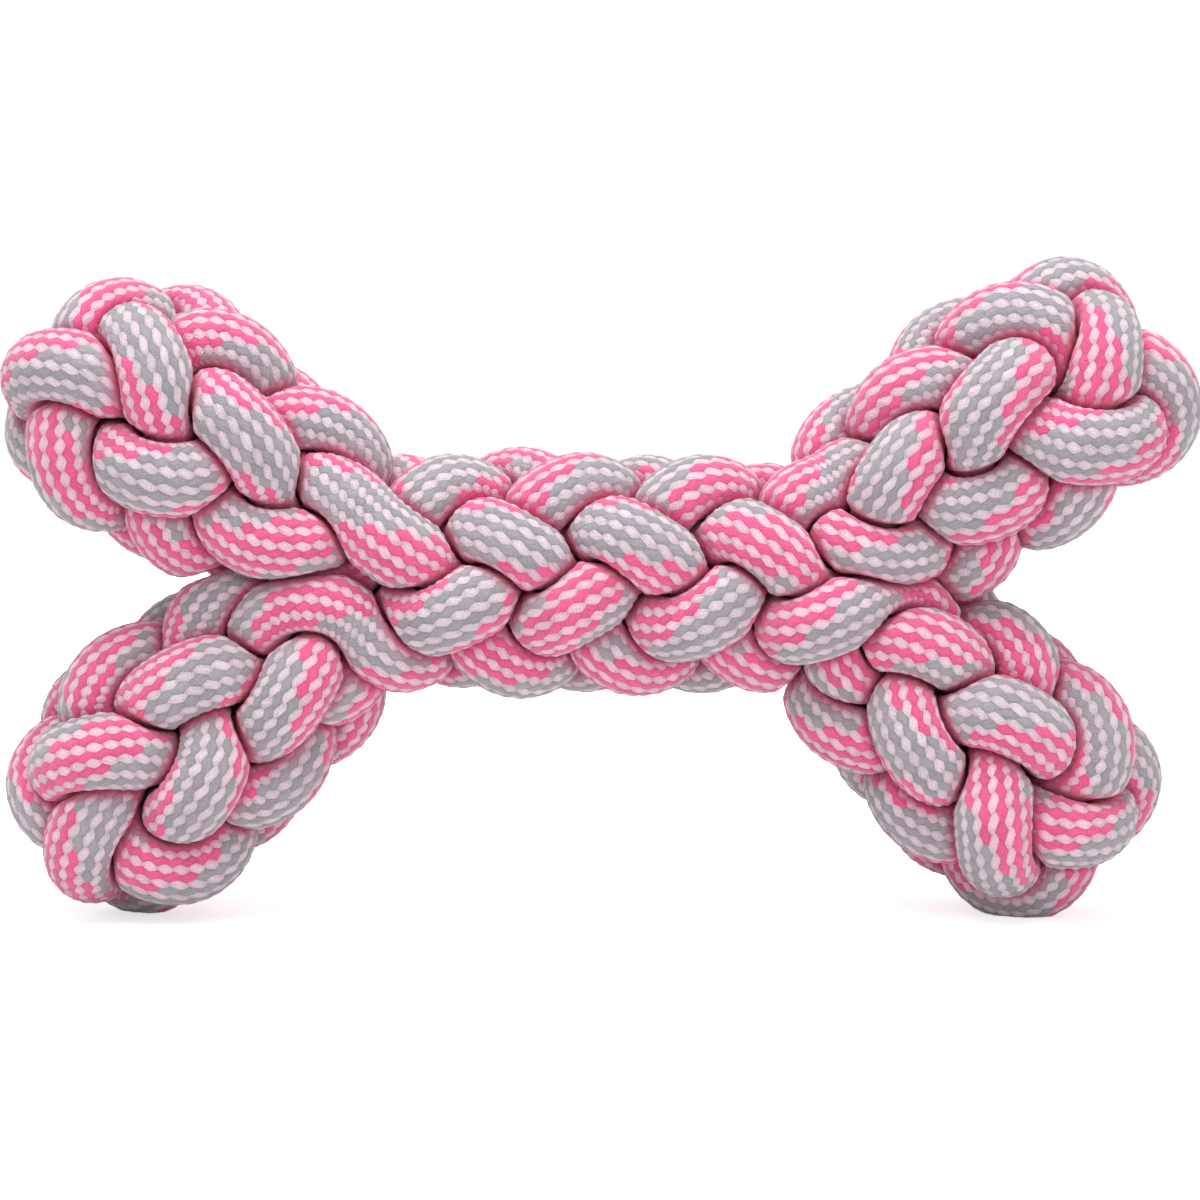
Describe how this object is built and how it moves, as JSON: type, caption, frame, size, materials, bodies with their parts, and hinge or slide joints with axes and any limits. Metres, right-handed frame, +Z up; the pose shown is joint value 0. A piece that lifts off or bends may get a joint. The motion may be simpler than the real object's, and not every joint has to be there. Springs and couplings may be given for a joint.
{
  "type": "rope dog toy",
  "caption": "Bone-shaped chew and tug toy plaited from soft cotton cords, with a thick bar that parts at each end into two limbs with round knotted knobs.",
  "frame": {"origin": "on the floor under the middle of the toy, at the bottom centre of its box", "axes": "+X along the bar, from the left knobs to the right knobs as seen from the front; +Y away from the viewer; +Z up"},
  "size_m": [0.1812, 0.0412, 0.1002],
  "materials": {
    "braided_cotton": "soft matt braided cotton in pink, grey and white yarns"
  },
  "bodies": {
    "root": {"cord_1": "braided_cotton", "cord_2": "braided_cotton", "cord_3": "braided_cotton", "cord_4": "braided_cotton", "cord_5": "braided_cotton", "cord_6": "braided_cotton", "cord_7": "braided_cotton", "cord_8": "braided_cotton"}
  },
  "joints": []
}
